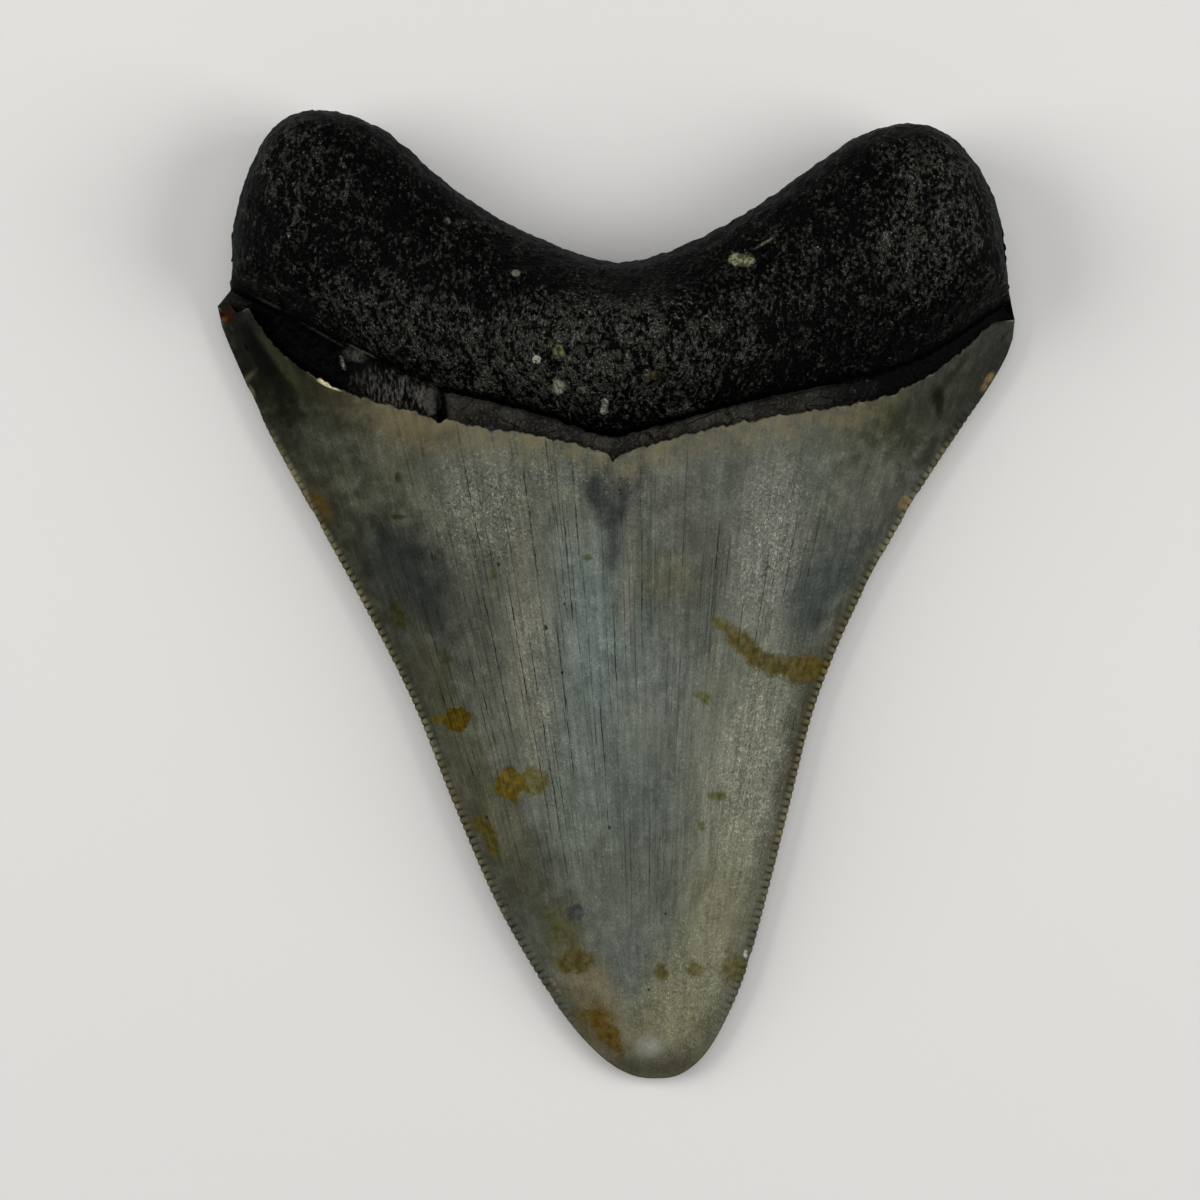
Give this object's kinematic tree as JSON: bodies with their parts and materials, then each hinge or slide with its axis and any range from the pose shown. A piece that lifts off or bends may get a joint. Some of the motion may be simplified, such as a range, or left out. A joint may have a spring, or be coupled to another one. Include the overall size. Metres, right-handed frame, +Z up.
{
  "type": "megalodon tooth",
  "caption": "Large fossil shark tooth lying flat: a broad triangular crown with finely serrated edges, a thin dark band at its neck and a thick dark root with two rounded lobes.",
  "frame": {"origin": "on the surface the tooth lies on, under the centre of its bounding box", "axes": "+Z up out of the swollen lingual face, which lies uppermost; +Y from the tip towards the two lobes of the root; +X to the right, seen from above with the root away from the viewer"},
  "size_m": [0.0802, 0.0972, 0.0206],
  "materials": {
    "fossil_tooth": "semi-gloss grey and cream fossil enamel on the crown, a satin dark grey band at the neck and a rough black root"
  },
  "bodies": {
    "root": {"tooth": "fossil_tooth"}
  },
  "joints": []
}
